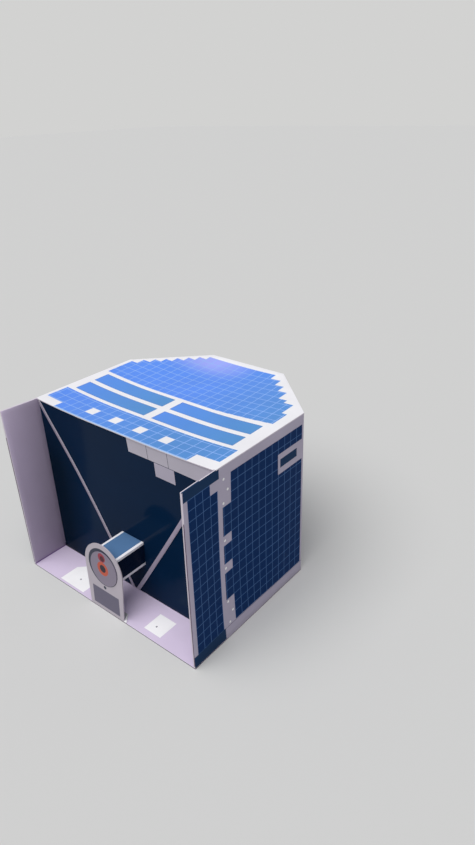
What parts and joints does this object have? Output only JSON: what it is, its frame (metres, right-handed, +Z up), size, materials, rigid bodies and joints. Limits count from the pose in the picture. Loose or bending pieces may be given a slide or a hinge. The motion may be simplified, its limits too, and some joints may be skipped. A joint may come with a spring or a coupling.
{
  "type": "card model of a comet lander",
  "caption": "Hollow card model of a comet lander: box body with cut rear corners, open front balcony between two wings, flat deck, V braces and a small camera.",
  "frame": {"origin": "middle of the bounding box on the underside of the base, where the model stands on the table", "axes": "+X to the right seen from the balcony, +Y from the balcony to the rear wall, +Z up"},
  "size_m": [0.094, 0.092, 0.0735],
  "materials": {
    "lilac_card": "satin card with a pale lilac print",
    "deck_print": "satin card with a bright blue cell print on white",
    "glossy_navy_print": "glossy card with a solid navy print",
    "wall_print": "satin card with a navy cell print on lilac",
    "brace_card": "matt lilac grey card",
    "grey_card": "matt light grey card",
    "disc_print": "matt grey card with two printed rings",
    "tube_print": "satin card with blue and near black print between white edges"
  },
  "bodies": {
    "root": {"base_plate": "lilac_card", "deck": "deck_print", "inner_wall": "glossy_navy_print", "right_side_wall": "wall_print", "rear_right_wall": "wall_print", "rear_wall": "wall_print", "rear_left_wall": "wall_print", "left_side_wall": "wall_print", "right_wing_liner": "lilac_card", "left_wing_liner": "lilac_card", "right_brace": "brace_card", "left_brace": "brace_card", "camera_plate": "grey_card", "camera_disc": "disc_print", "camera_tube": "tube_print"}
  },
  "joints": []
}
